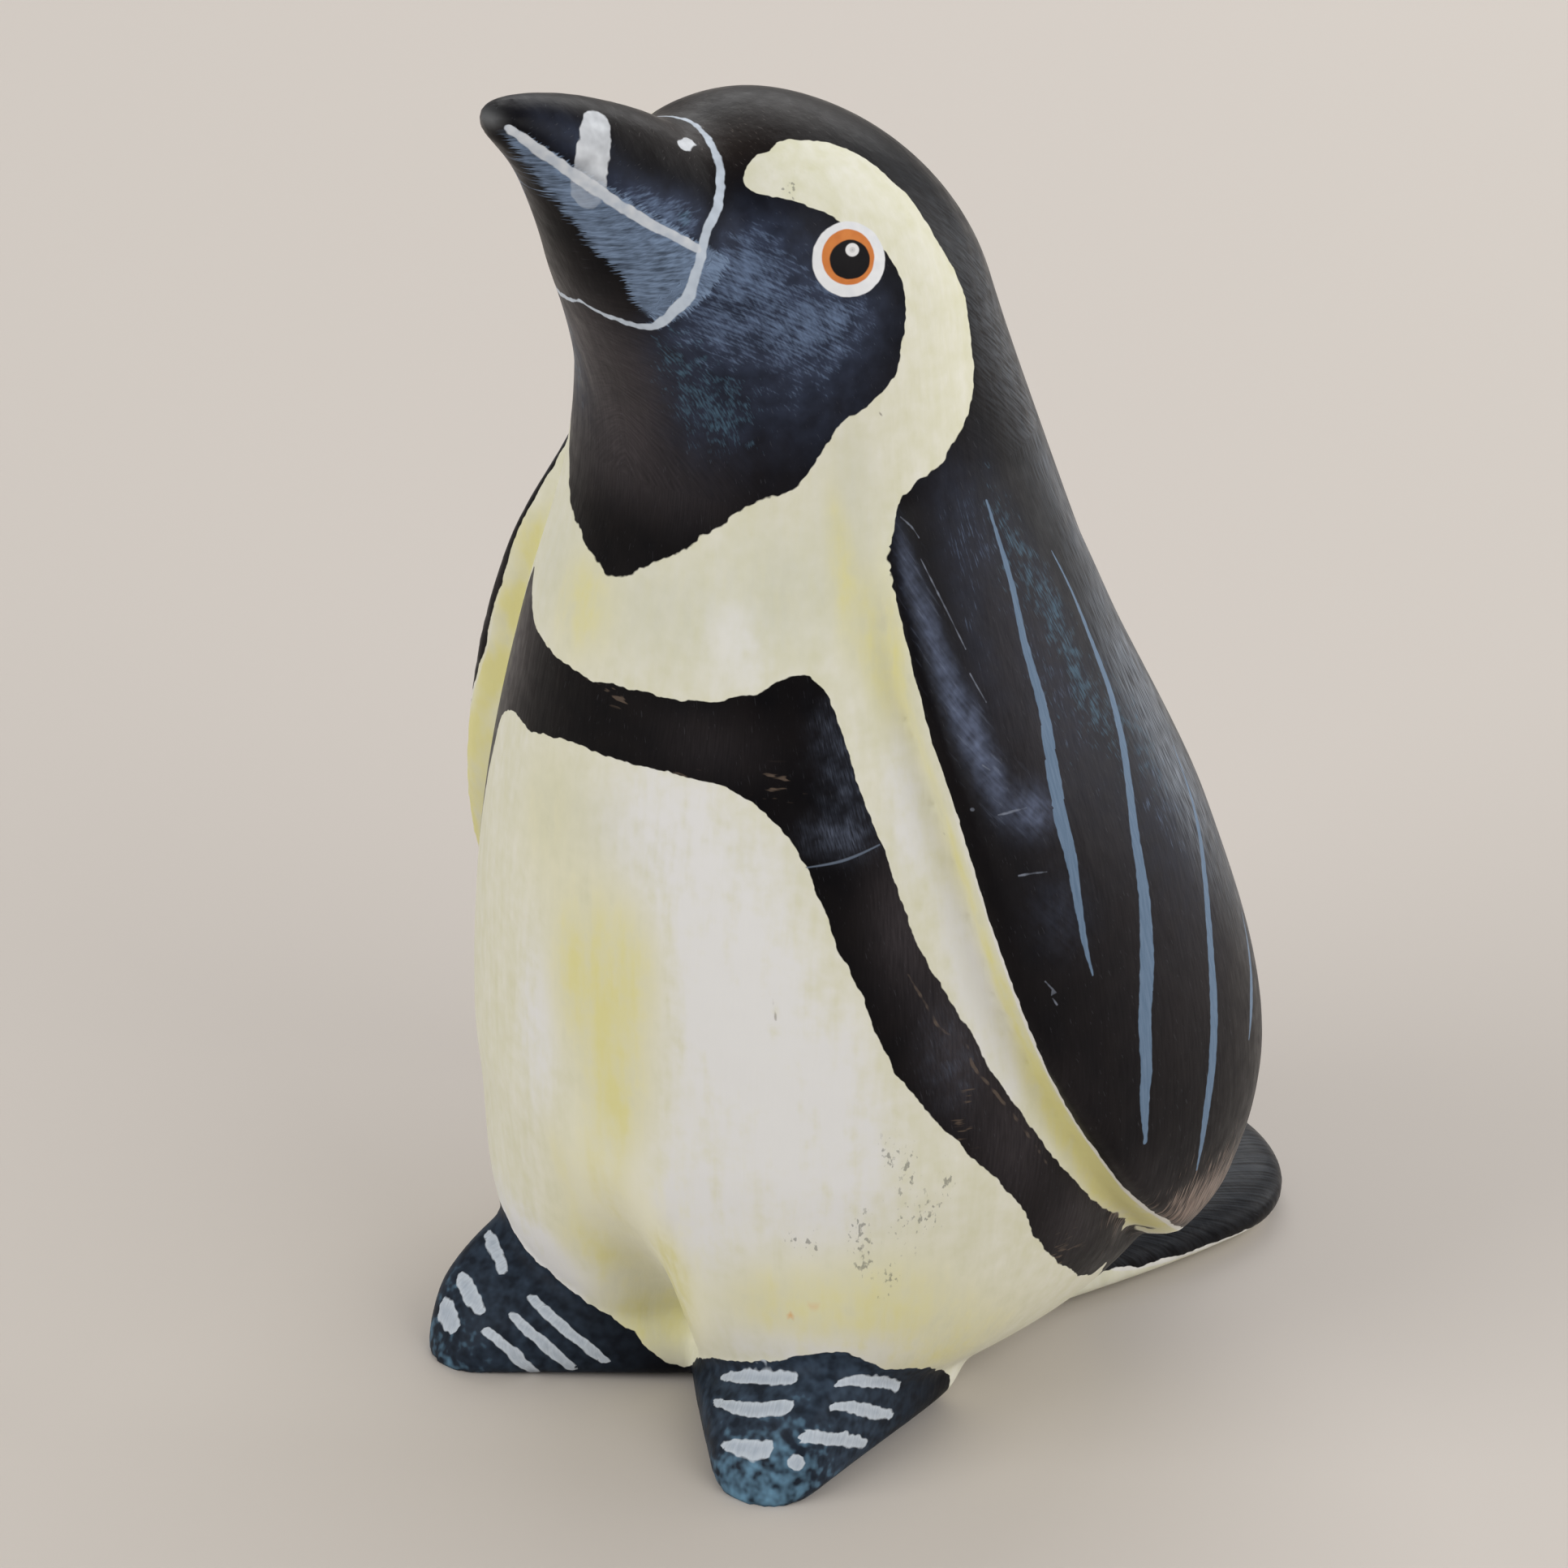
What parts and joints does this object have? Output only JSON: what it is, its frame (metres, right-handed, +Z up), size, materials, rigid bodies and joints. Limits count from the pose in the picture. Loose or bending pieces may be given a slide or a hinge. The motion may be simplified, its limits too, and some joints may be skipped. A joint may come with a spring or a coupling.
{
  "type": "ceramic penguin figurine",
  "caption": "Solid hand-painted ceramic penguin figurine that looks up, standing on its flat underside and feet.",
  "frame": {"origin": "on the flat underside, at floor level, under the middle of the trunk", "axes": "+Z up, -Y the way the belly faces, +X the penguin's left side"},
  "size_m": [0.055, 0.0628, 0.0913],
  "materials": {
    "painted_clay": "satin paint over fired clay"
  },
  "bodies": {
    "root": {"penguin": "painted_clay"}
  },
  "joints": []
}
